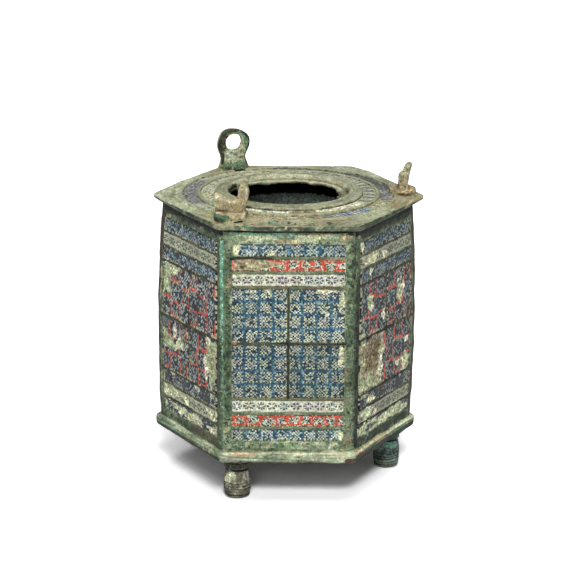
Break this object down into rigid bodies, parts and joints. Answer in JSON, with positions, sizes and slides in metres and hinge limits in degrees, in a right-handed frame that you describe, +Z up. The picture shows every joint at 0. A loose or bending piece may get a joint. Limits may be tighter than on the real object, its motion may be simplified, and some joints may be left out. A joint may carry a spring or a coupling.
{
  "type": "enamelled bronze box",
  "caption": "Six-sided antique bronze box with millefiori enamel panels, a round open mouth, turned feet and cast suspension lugs.",
  "frame": {"origin": "on the ground under the middle of the box", "axes": "+Z up through the mouth, -Y out of the front side, +X to the right of someone who faces the front"},
  "size_m": [0.0688, 0.0604, 0.0848],
  "materials": {
    "bronze": "corroded green-brown patina",
    "dark_bronze": "dark green-brown patina",
    "enamel_blue": "worn glass, blue and white checks",
    "enamel_white": "worn glass, blue flowers on white",
    "enamel_red": "worn glass, checks on red",
    "enamel_checker": "worn glass plaques, blue, white and red"
  },
  "bodies": {
    "root": {"base_plate": "bronze", "front_plate": "bronze", "front_enamel_band_1": "enamel_blue", "front_enamel_band_2": "enamel_red", "front_enamel_band_3": "enamel_white", "front_enamel_band_4": "enamel_white", "front_enamel_band_5": "enamel_red", "front_enamel_band_6": "enamel_blue", "front_enamel_fields": "enamel_checker", "front_right_plate": "bronze", "front_right_enamel_band_1": "enamel_blue", "front_right_enamel_band_2": "enamel_white", "front_right_enamel_band_3": "enamel_blue", "front_right_enamel_band_4": "enamel_blue", "front_right_enamel_band_5": "enamel_white", "front_right_enamel_band_6": "enamel_blue", "front_right_enamel_fields": "enamel_checker", "back_right_plate": "bronze", "back_right_enamel_band_1": "enamel_blue", "back_right_enamel_band_2": "enamel_red", "back_right_enamel_band_3": "enamel_white", "back_right_enamel_band_4": "enamel_white", "back_right_enamel_band_5": "enamel_red", "back_right_enamel_band_6": "enamel_blue", "back_right_enamel_fields": "enamel_checker", "back_plate": "bronze", "back_enamel_band_1": "enamel_blue", "back_enamel_band_2": "enamel_white", "back_enamel_band_3": "enamel_blue", "back_enamel_band_4": "enamel_blue", "back_enamel_band_5": "enamel_white", "back_enamel_band_6": "enamel_blue", "back_enamel_fields": "enamel_checker", "back_left_plate": "bronze", "back_left_enamel_band_1": "enamel_blue", "back_left_enamel_band_2": "enamel_red", "back_left_enamel_band_3": "enamel_white", "back_left_enamel_band_4": "enamel_white", "back_left_enamel_band_5": "enamel_red", "back_left_enamel_band_6": "enamel_blue", "back_left_enamel_fields": "enamel_checker", "front_left_plate": "bronze", "front_left_enamel_band_1": "enamel_blue", "front_left_enamel_band_2": "enamel_white", "front_left_enamel_band_3": "enamel_blue", "front_left_enamel_band_4": "enamel_blue", "front_left_enamel_band_5": "enamel_white", "front_left_enamel_band_6": "enamel_blue", "front_left_enamel_fields": "enamel_checker", "top_plate": "bronze", "outer_ring_enamel": "enamel_checker", "inner_ring_enamel": "enamel_white", "rear_lug": "dark_bronze", "front_lug": "dark_bronze", "right_lug": "dark_bronze", "right_foot": "dark_bronze", "back_foot": "dark_bronze", "front_foot": "dark_bronze"}
  },
  "joints": []
}
